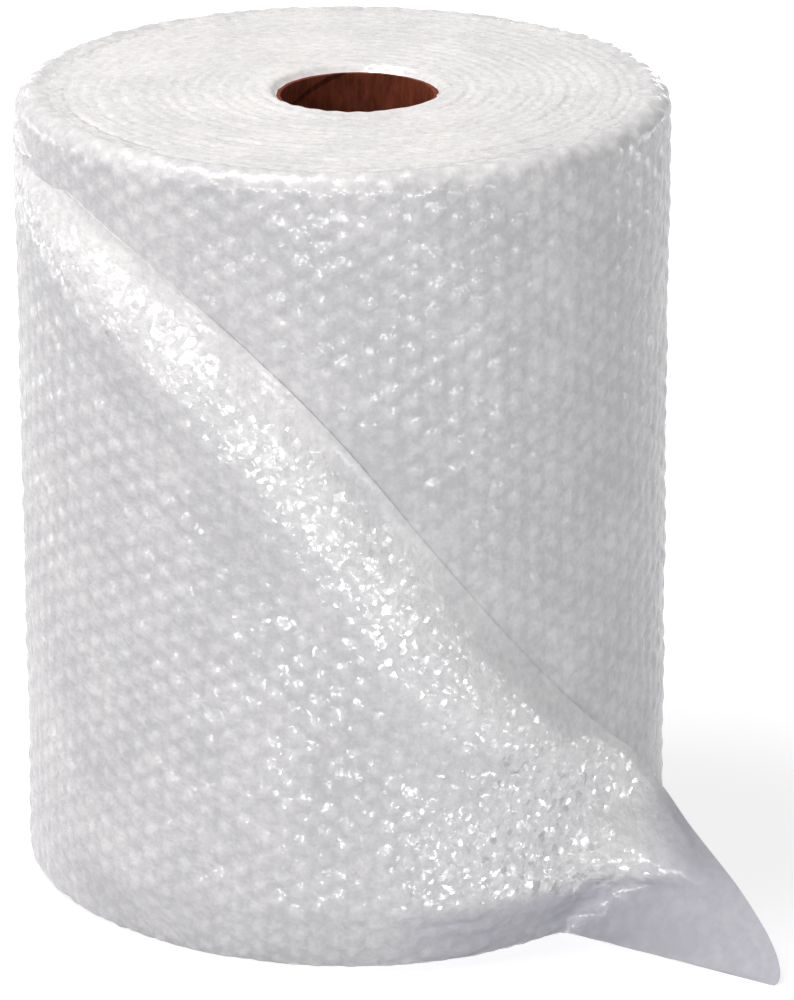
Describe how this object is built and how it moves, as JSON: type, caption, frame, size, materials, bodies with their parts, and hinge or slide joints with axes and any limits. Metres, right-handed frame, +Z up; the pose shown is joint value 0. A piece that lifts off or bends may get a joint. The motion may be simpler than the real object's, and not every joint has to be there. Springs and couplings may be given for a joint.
{
  "type": "bubble wrap roll",
  "caption": "Upright roll of bubble film on an open cardboard tube, with a slant-cut loose end whose corner lies out on the floor; cushions goods for shipping.",
  "frame": {"origin": "on the cardboard tube's axis, at the floor that the roll stands on", "axes": "+Z up along the tube's axis, -Y towards the front, where the loose end lies over the roll"},
  "size_m": [0.2835, 0.2584, 0.305],
  "materials": {
    "film": "clear bubble film, milky white in many layers, glossy and finely wrinkled",
    "card": "brown wound kraft card, matt"
  },
  "bodies": {
    "root": {"bubble_wrap": "film", "core_tube": "card"}
  },
  "joints": []
}
